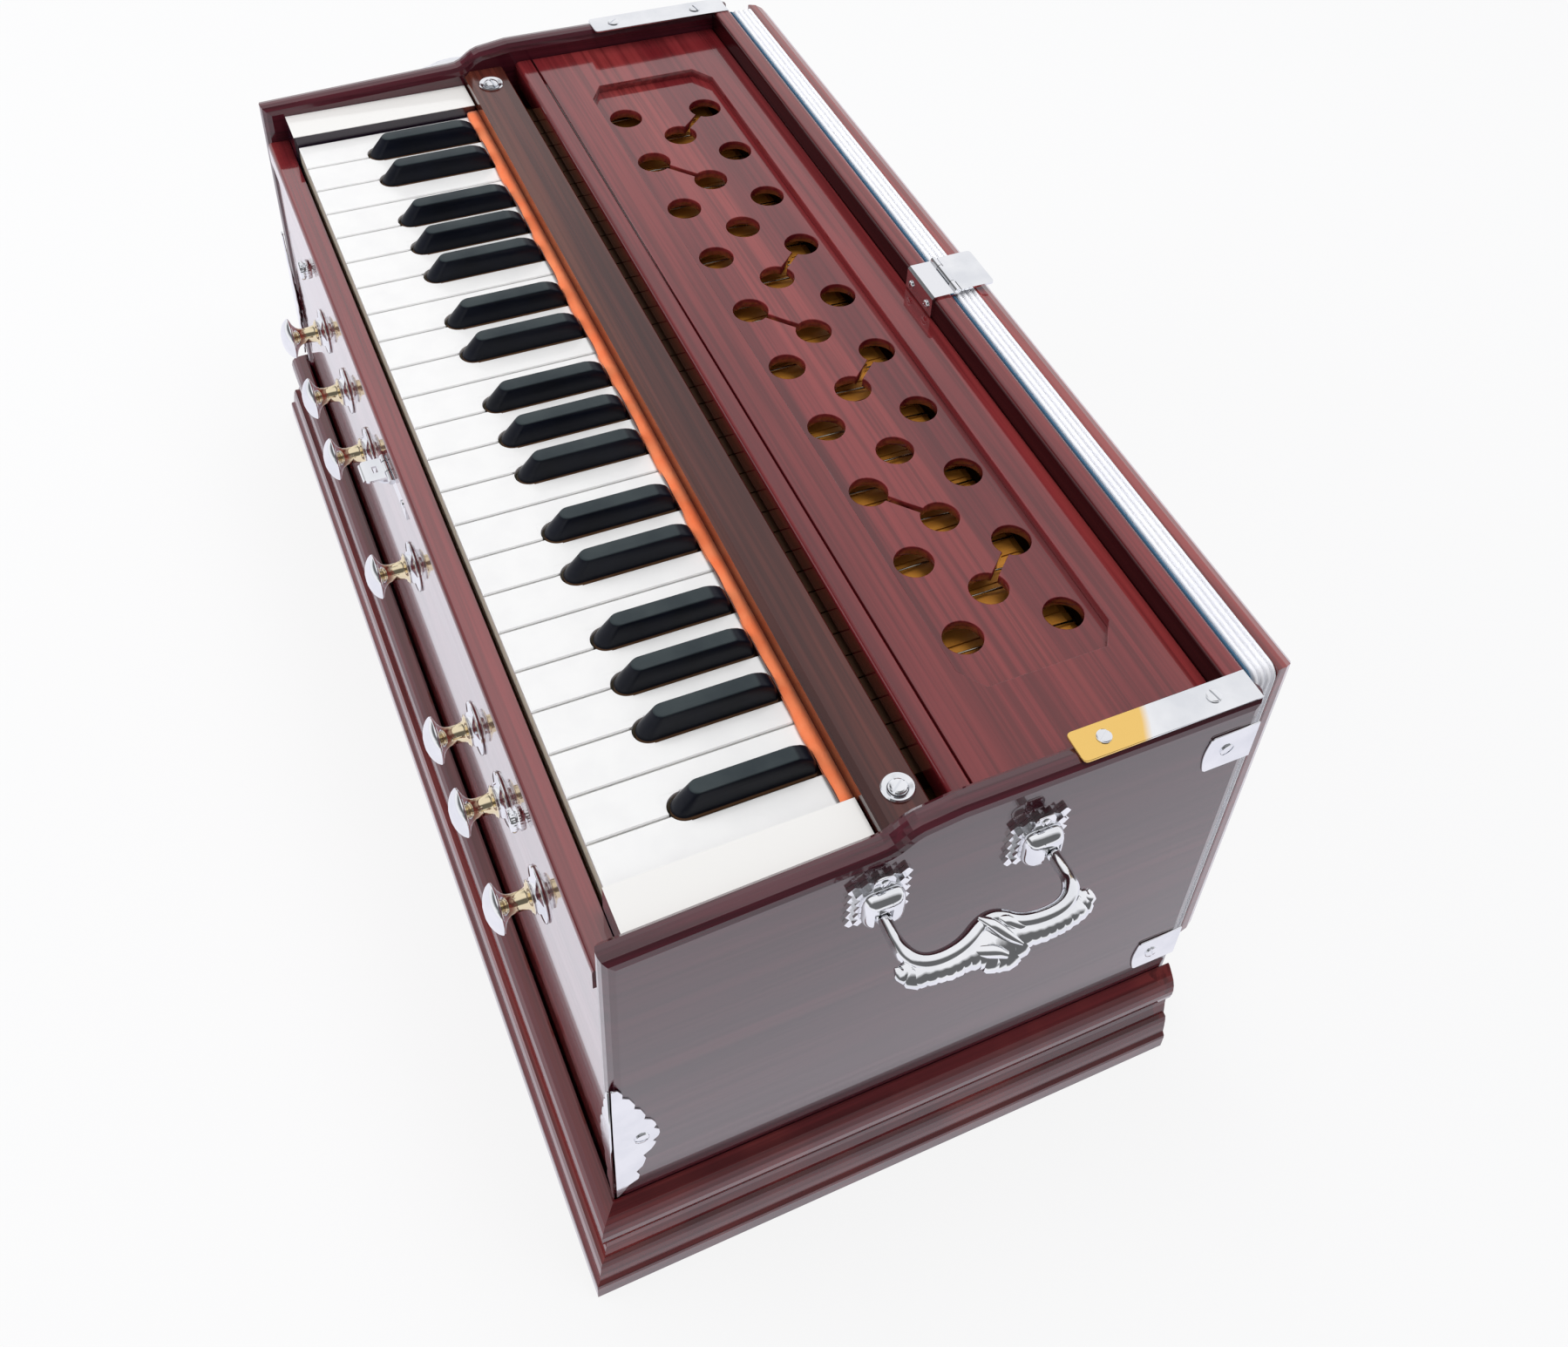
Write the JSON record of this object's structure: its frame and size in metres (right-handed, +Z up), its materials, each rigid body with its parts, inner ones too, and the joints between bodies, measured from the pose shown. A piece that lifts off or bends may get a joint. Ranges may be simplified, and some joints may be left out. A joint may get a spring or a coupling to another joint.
{
  "type": "indian harmonium",
  "caption": "Portable hand-pumped reed organ: moulded wooden case, short piano keyboard, pull stops in front, perforated top board, hinged bellows board at the back, carrying handles.",
  "frame": {"origin": "middle of the underside of the plinth, on the surface that the instrument stands on", "axes": "+Z up; +X along the keyboard towards the treble end; -Y towards the player"},
  "size_m": [0.666, 0.3256, 0.2644],
  "materials": {
    "lacquered_wood": "high-gloss reddish-brown lacquer",
    "dark_lacquered_wood": "gloss dark brown lacquer",
    "bare_wood": "shellacked",
    "white_key_cap": "polished",
    "black_key_cap": "satin",
    "chrome": "polished plating",
    "bellows_cloth": "matt cloth over card"
  },
  "bodies": {
    "case": {"plinth": "lacquered_wood", "treble_end_panel": "lacquered_wood", "bass_end_panel": "lacquered_wood", "front_board": "lacquered_wood", "reed_deck": "bare_wood", "key_strip": "dark_lacquered_wood", "top_board": "lacquered_wood", "rear_wall": "lacquered_wood", "bellows_folds": "bellows_cloth"},
    "bellows_board": {"bellows_board": "lacquered_wood"},
    "latch_leaf": {"latch_leaf": "chrome"},
    "hasp_leaf": {"hasp_leaf": "chrome"},
    "treble_handle": {"treble_handle": "chrome"},
    "bass_handle": {"bass_handle": "chrome"},
    "stop_knob_1": {"stop_knob_1": "chrome"},
    "stop_knob_2": {"stop_knob_2": "chrome"},
    "stop_knob_3": {"stop_knob_3": "chrome"},
    "stop_knob_4": {"stop_knob_4": "chrome"},
    "stop_knob_5": {"stop_knob_5": "chrome"},
    "stop_knob_6": {"stop_knob_6": "chrome"},
    "stop_knob_7": {"stop_knob_7": "chrome"},
    "key_01_c": {"key_01_c": "white_key_cap"},
    "key_02_c_sharp": {"key_02_c_sharp": "black_key_cap"},
    "key_03_d": {"key_03_d": "white_key_cap"},
    "key_04_d_sharp": {"key_04_d_sharp": "black_key_cap"},
    "key_05_e": {"key_05_e": "white_key_cap"},
    "key_06_f": {"key_06_f": "white_key_cap"},
    "key_07_f_sharp": {"key_07_f_sharp": "black_key_cap"},
    "key_08_g": {"key_08_g": "white_key_cap"},
    "key_09_g_sharp": {"key_09_g_sharp": "black_key_cap"},
    "key_10_a": {"key_10_a": "white_key_cap"},
    "key_11_a_sharp": {"key_11_a_sharp": "black_key_cap"},
    "key_12_b": {"key_12_b": "white_key_cap"},
    "key_13_c": {"key_13_c": "white_key_cap"},
    "key_14_c_sharp": {"key_14_c_sharp": "black_key_cap"},
    "key_15_d": {"key_15_d": "white_key_cap"},
    "key_16_d_sharp": {"key_16_d_sharp": "black_key_cap"},
    "key_17_e": {"key_17_e": "white_key_cap"},
    "key_18_f": {"key_18_f": "white_key_cap"},
    "key_19_f_sharp": {"key_19_f_sharp": "black_key_cap"},
    "key_20_g": {"key_20_g": "white_key_cap"},
    "key_21_g_sharp": {"key_21_g_sharp": "black_key_cap"},
    "key_22_a": {"key_22_a": "white_key_cap"},
    "key_23_a_sharp": {"key_23_a_sharp": "black_key_cap"},
    "key_24_b": {"key_24_b": "white_key_cap"},
    "key_25_c": {"key_25_c": "white_key_cap"},
    "key_26_c_sharp": {"key_26_c_sharp": "black_key_cap"},
    "key_27_d": {"key_27_d": "white_key_cap"},
    "key_28_d_sharp": {"key_28_d_sharp": "black_key_cap"},
    "key_29_e": {"key_29_e": "white_key_cap"},
    "key_30_f": {"key_30_f": "white_key_cap"},
    "key_31_f_sharp": {"key_31_f_sharp": "black_key_cap"},
    "key_32_g": {"key_32_g": "white_key_cap"},
    "key_33_g_sharp": {"key_33_g_sharp": "black_key_cap"},
    "key_34_a": {"key_34_a": "white_key_cap"},
    "key_35_a_sharp": {"key_35_a_sharp": "black_key_cap"},
    "key_36_b": {"key_36_b": "white_key_cap"},
    "key_37_c": {"key_37_c": "white_key_cap"},
    "key_38_c_sharp": {"key_38_c_sharp": "black_key_cap"},
    "key_39_d": {"key_39_d": "white_key_cap"}
  },
  "joints": [
    {"name": "stop_knob_1_pull", "type": "slide", "parent": "case", "child": "stop_knob_1", "axis": [0, -1, 0], "range_m": [0, 0.02]},
    {"name": "stop_knob_2_pull", "type": "slide", "parent": "case", "child": "stop_knob_2", "axis": [0, -1, 0], "range_m": [0, 0.02]},
    {"name": "stop_knob_3_pull", "type": "slide", "parent": "case", "child": "stop_knob_3", "axis": [0, -1, 0], "range_m": [0, 0.02]},
    {"name": "stop_knob_4_pull", "type": "slide", "parent": "case", "child": "stop_knob_4", "axis": [0, -1, 0], "range_m": [0, 0.02]},
    {"name": "stop_knob_5_pull", "type": "slide", "parent": "case", "child": "stop_knob_5", "axis": [0, -1, 0], "range_m": [0, 0.02]},
    {"name": "stop_knob_6_pull", "type": "slide", "parent": "case", "child": "stop_knob_6", "axis": [0, -1, 0], "range_m": [0, 0.02]},
    {"name": "stop_knob_7_pull", "type": "slide", "parent": "case", "child": "stop_knob_7", "axis": [0, -1, 0], "range_m": [0, 0.02]},
    {"name": "bellows_board_open", "type": "hinge", "parent": "case", "child": "bellows_board", "pos_m": [0, 0.14945, 0.0554], "axis": [-1, 0, 0], "range_deg": [0, 22], "deforming": ["bellows_folds"]},
    {"name": "latch_leaf_lift", "type": "hinge", "parent": "case", "child": "latch_leaf", "pos_m": [0.004, 0.14825, 0.2627], "axis": [1, 0, 0], "range_deg": [0, 120]},
    {"name": "hasp_leaf_swing", "type": "hinge", "parent": "case", "child": "hasp_leaf", "pos_m": [-0.015, -0.13295, 0.2099], "axis": [1, 0, 0], "range_deg": [0, 40]},
    {"name": "treble_handle_drop", "type": "hinge", "parent": "case", "child": "treble_handle", "pos_m": [0.2954, 0.00975, 0.226], "axis": [0, 1, 0], "range_deg": [0, 75]},
    {"name": "bass_handle_drop", "type": "hinge", "parent": "case", "child": "bass_handle", "pos_m": [-0.2954, 0.00975, 0.226], "axis": [0, -1, 0], "range_deg": [0, 75]},
    {"name": "key_01_c_press", "type": "hinge", "parent": "case", "child": "key_01_c", "pos_m": [-0.2464, 0.01825, 0.2175], "axis": [1, 0, 0], "range_deg": [0, 3.2], "stiffness_Nm_per_rad": 0.3, "springref_deg": -20.05},
    {"name": "key_02_c_sharp_press", "type": "hinge", "parent": "case", "child": "key_02_c_sharp", "pos_m": [-0.2332, 0.01825, 0.2175], "axis": [1, 0, 0], "range_deg": [0, 3.2], "stiffness_Nm_per_rad": 0.3, "springref_deg": -20.05},
    {"name": "key_03_d_press", "type": "hinge", "parent": "case", "child": "key_03_d", "pos_m": [-0.22, 0.01825, 0.2175], "axis": [1, 0, 0], "range_deg": [0, 3.2], "stiffness_Nm_per_rad": 0.3, "springref_deg": -20.05},
    {"name": "key_04_d_sharp_press", "type": "hinge", "parent": "case", "child": "key_04_d_sharp", "pos_m": [-0.2068, 0.01825, 0.2175], "axis": [1, 0, 0], "range_deg": [0, 3.2], "stiffness_Nm_per_rad": 0.3, "springref_deg": -20.05},
    {"name": "key_05_e_press", "type": "hinge", "parent": "case", "child": "key_05_e", "pos_m": [-0.1936, 0.01825, 0.2175], "axis": [1, 0, 0], "range_deg": [0, 3.2], "stiffness_Nm_per_rad": 0.3, "springref_deg": -20.05},
    {"name": "key_06_f_press", "type": "hinge", "parent": "case", "child": "key_06_f", "pos_m": [-0.18071, 0.01825, 0.2175], "axis": [1, 0, 0], "range_deg": [0, 3.2], "stiffness_Nm_per_rad": 0.3, "springref_deg": -20.05},
    {"name": "key_07_f_sharp_press", "type": "hinge", "parent": "case", "child": "key_07_f_sharp", "pos_m": [-0.16814, 0.01825, 0.2175], "axis": [1, 0, 0], "range_deg": [0, 3.2], "stiffness_Nm_per_rad": 0.3, "springref_deg": -20.05},
    {"name": "key_08_g_press", "type": "hinge", "parent": "case", "child": "key_08_g", "pos_m": [-0.15557, 0.01825, 0.2175], "axis": [1, 0, 0], "range_deg": [0, 3.2], "stiffness_Nm_per_rad": 0.3, "springref_deg": -20.05},
    {"name": "key_09_g_sharp_press", "type": "hinge", "parent": "case", "child": "key_09_g_sharp", "pos_m": [-0.143, 0.01825, 0.2175], "axis": [1, 0, 0], "range_deg": [0, 3.2], "stiffness_Nm_per_rad": 0.3, "springref_deg": -20.05},
    {"name": "key_10_a_press", "type": "hinge", "parent": "case", "child": "key_10_a", "pos_m": [-0.13043, 0.01825, 0.2175], "axis": [1, 0, 0], "range_deg": [0, 3.2], "stiffness_Nm_per_rad": 0.3, "springref_deg": -20.05},
    {"name": "key_11_a_sharp_press", "type": "hinge", "parent": "case", "child": "key_11_a_sharp", "pos_m": [-0.11786, 0.01825, 0.2175], "axis": [1, 0, 0], "range_deg": [0, 3.2], "stiffness_Nm_per_rad": 0.3, "springref_deg": -20.05},
    {"name": "key_12_b_press", "type": "hinge", "parent": "case", "child": "key_12_b", "pos_m": [-0.10529, 0.01825, 0.2175], "axis": [1, 0, 0], "range_deg": [0, 3.2], "stiffness_Nm_per_rad": 0.3, "springref_deg": -20.05},
    {"name": "key_13_c_press", "type": "hinge", "parent": "case", "child": "key_13_c", "pos_m": [-0.0924, 0.01825, 0.2175], "axis": [1, 0, 0], "range_deg": [0, 3.2], "stiffness_Nm_per_rad": 0.3, "springref_deg": -20.05},
    {"name": "key_14_c_sharp_press", "type": "hinge", "parent": "case", "child": "key_14_c_sharp", "pos_m": [-0.0792, 0.01825, 0.2175], "axis": [1, 0, 0], "range_deg": [0, 3.2], "stiffness_Nm_per_rad": 0.3, "springref_deg": -20.05},
    {"name": "key_15_d_press", "type": "hinge", "parent": "case", "child": "key_15_d", "pos_m": [-0.066, 0.01825, 0.2175], "axis": [1, 0, 0], "range_deg": [0, 3.2], "stiffness_Nm_per_rad": 0.3, "springref_deg": -20.05},
    {"name": "key_16_d_sharp_press", "type": "hinge", "parent": "case", "child": "key_16_d_sharp", "pos_m": [-0.0528, 0.01825, 0.2175], "axis": [1, 0, 0], "range_deg": [0, 3.2], "stiffness_Nm_per_rad": 0.3, "springref_deg": -20.05},
    {"name": "key_17_e_press", "type": "hinge", "parent": "case", "child": "key_17_e", "pos_m": [-0.0396, 0.01825, 0.2175], "axis": [1, 0, 0], "range_deg": [0, 3.2], "stiffness_Nm_per_rad": 0.3, "springref_deg": -20.05},
    {"name": "key_18_f_press", "type": "hinge", "parent": "case", "child": "key_18_f", "pos_m": [-0.02671, 0.01825, 0.2175], "axis": [1, 0, 0], "range_deg": [0, 3.2], "stiffness_Nm_per_rad": 0.3, "springref_deg": -20.05},
    {"name": "key_19_f_sharp_press", "type": "hinge", "parent": "case", "child": "key_19_f_sharp", "pos_m": [-0.01414, 0.01825, 0.2175], "axis": [1, 0, 0], "range_deg": [0, 3.2], "stiffness_Nm_per_rad": 0.3, "springref_deg": -20.05},
    {"name": "key_20_g_press", "type": "hinge", "parent": "case", "child": "key_20_g", "pos_m": [-0.00157, 0.01825, 0.2175], "axis": [1, 0, 0], "range_deg": [0, 3.2], "stiffness_Nm_per_rad": 0.3, "springref_deg": -20.05},
    {"name": "key_21_g_sharp_press", "type": "hinge", "parent": "case", "child": "key_21_g_sharp", "pos_m": [0.011, 0.01825, 0.2175], "axis": [1, 0, 0], "range_deg": [0, 3.2], "stiffness_Nm_per_rad": 0.3, "springref_deg": -20.05},
    {"name": "key_22_a_press", "type": "hinge", "parent": "case", "child": "key_22_a", "pos_m": [0.02357, 0.01825, 0.2175], "axis": [1, 0, 0], "range_deg": [0, 3.2], "stiffness_Nm_per_rad": 0.3, "springref_deg": -20.05},
    {"name": "key_23_a_sharp_press", "type": "hinge", "parent": "case", "child": "key_23_a_sharp", "pos_m": [0.03614, 0.01825, 0.2175], "axis": [1, 0, 0], "range_deg": [0, 3.2], "stiffness_Nm_per_rad": 0.3, "springref_deg": -20.05},
    {"name": "key_24_b_press", "type": "hinge", "parent": "case", "child": "key_24_b", "pos_m": [0.04871, 0.01825, 0.2175], "axis": [1, 0, 0], "range_deg": [0, 3.2], "stiffness_Nm_per_rad": 0.3, "springref_deg": -20.05},
    {"name": "key_25_c_press", "type": "hinge", "parent": "case", "child": "key_25_c", "pos_m": [0.0616, 0.01825, 0.2175], "axis": [1, 0, 0], "range_deg": [0, 3.2], "stiffness_Nm_per_rad": 0.3, "springref_deg": -20.05},
    {"name": "key_26_c_sharp_press", "type": "hinge", "parent": "case", "child": "key_26_c_sharp", "pos_m": [0.0748, 0.01825, 0.2175], "axis": [1, 0, 0], "range_deg": [0, 3.2], "stiffness_Nm_per_rad": 0.3, "springref_deg": -20.05},
    {"name": "key_27_d_press", "type": "hinge", "parent": "case", "child": "key_27_d", "pos_m": [0.088, 0.01825, 0.2175], "axis": [1, 0, 0], "range_deg": [0, 3.2], "stiffness_Nm_per_rad": 0.3, "springref_deg": -20.05},
    {"name": "key_28_d_sharp_press", "type": "hinge", "parent": "case", "child": "key_28_d_sharp", "pos_m": [0.1012, 0.01825, 0.2175], "axis": [1, 0, 0], "range_deg": [0, 3.2], "stiffness_Nm_per_rad": 0.3, "springref_deg": -20.05},
    {"name": "key_29_e_press", "type": "hinge", "parent": "case", "child": "key_29_e", "pos_m": [0.1144, 0.01825, 0.2175], "axis": [1, 0, 0], "range_deg": [0, 3.2], "stiffness_Nm_per_rad": 0.3, "springref_deg": -20.05},
    {"name": "key_30_f_press", "type": "hinge", "parent": "case", "child": "key_30_f", "pos_m": [0.12729, 0.01825, 0.2175], "axis": [1, 0, 0], "range_deg": [0, 3.2], "stiffness_Nm_per_rad": 0.3, "springref_deg": -20.05},
    {"name": "key_31_f_sharp_press", "type": "hinge", "parent": "case", "child": "key_31_f_sharp", "pos_m": [0.13986, 0.01825, 0.2175], "axis": [1, 0, 0], "range_deg": [0, 3.2], "stiffness_Nm_per_rad": 0.3, "springref_deg": -20.05},
    {"name": "key_32_g_press", "type": "hinge", "parent": "case", "child": "key_32_g", "pos_m": [0.15243, 0.01825, 0.2175], "axis": [1, 0, 0], "range_deg": [0, 3.2], "stiffness_Nm_per_rad": 0.3, "springref_deg": -20.05},
    {"name": "key_33_g_sharp_press", "type": "hinge", "parent": "case", "child": "key_33_g_sharp", "pos_m": [0.165, 0.01825, 0.2175], "axis": [1, 0, 0], "range_deg": [0, 3.2], "stiffness_Nm_per_rad": 0.3, "springref_deg": -20.05},
    {"name": "key_34_a_press", "type": "hinge", "parent": "case", "child": "key_34_a", "pos_m": [0.17757, 0.01825, 0.2175], "axis": [1, 0, 0], "range_deg": [0, 3.2], "stiffness_Nm_per_rad": 0.3, "springref_deg": -20.05},
    {"name": "key_35_a_sharp_press", "type": "hinge", "parent": "case", "child": "key_35_a_sharp", "pos_m": [0.19014, 0.01825, 0.2175], "axis": [1, 0, 0], "range_deg": [0, 3.2], "stiffness_Nm_per_rad": 0.3, "springref_deg": -20.05},
    {"name": "key_36_b_press", "type": "hinge", "parent": "case", "child": "key_36_b", "pos_m": [0.20271, 0.01825, 0.2175], "axis": [1, 0, 0], "range_deg": [0, 3.2], "stiffness_Nm_per_rad": 0.3, "springref_deg": -20.05},
    {"name": "key_37_c_press", "type": "hinge", "parent": "case", "child": "key_37_c", "pos_m": [0.2156, 0.01825, 0.2175], "axis": [1, 0, 0], "range_deg": [0, 3.2], "stiffness_Nm_per_rad": 0.3, "springref_deg": -20.05},
    {"name": "key_38_c_sharp_press", "type": "hinge", "parent": "case", "child": "key_38_c_sharp", "pos_m": [0.2288, 0.01825, 0.2175], "axis": [1, 0, 0], "range_deg": [0, 3.2], "stiffness_Nm_per_rad": 0.3, "springref_deg": -20.05},
    {"name": "key_39_d_press", "type": "hinge", "parent": "case", "child": "key_39_d", "pos_m": [0.242, 0.01825, 0.2175], "axis": [1, 0, 0], "range_deg": [0, 3.2], "stiffness_Nm_per_rad": 0.3, "springref_deg": -20.05}
  ]
}
